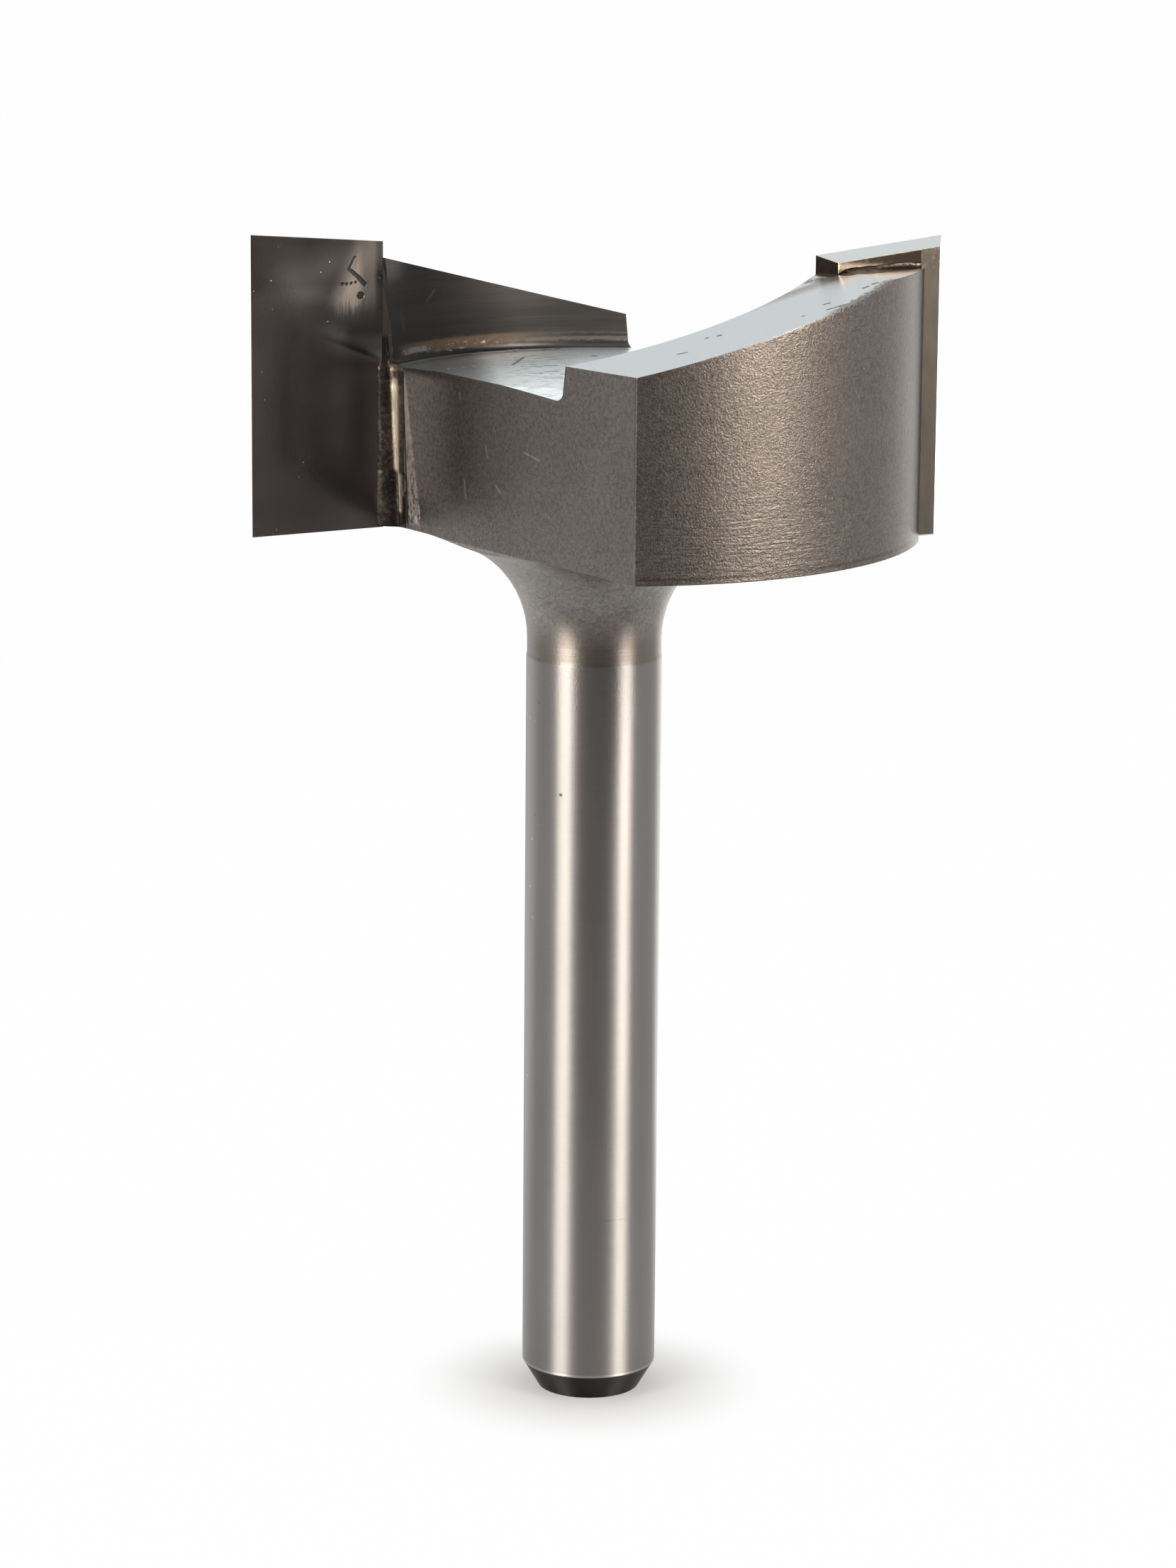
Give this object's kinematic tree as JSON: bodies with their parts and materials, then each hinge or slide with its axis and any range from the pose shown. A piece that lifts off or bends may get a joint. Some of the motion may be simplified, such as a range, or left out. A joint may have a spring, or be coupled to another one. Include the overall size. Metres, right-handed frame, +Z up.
{
  "type": "mortise router bit",
  "caption": "Carbide-tipped mortise router bit: straight round shank, flared neck and a winged head whose brazed plates cut a flat-bottomed recess.",
  "frame": {"origin": "centre of the shank's end, on the tool's axis", "axes": "+Z up the tool's axis towards the cutting head, the two cutting corners on +X and -X"},
  "size_m": [0.0318, 0.0264, 0.0553],
  "materials": {
    "body_steel": "darkened satin steel, ground bright on the shank",
    "tip_carbide": "dark satin tungsten carbide, ground pale on its ends",
    "braze_silver": "pale gold silver solder, smooth"
  },
  "bodies": {
    "root": {"tool_body": "body_steel", "carbide_tip_right": "tip_carbide", "carbide_tip_left": "tip_carbide", "braze_right": "braze_silver", "braze_left": "braze_silver"}
  },
  "joints": []
}
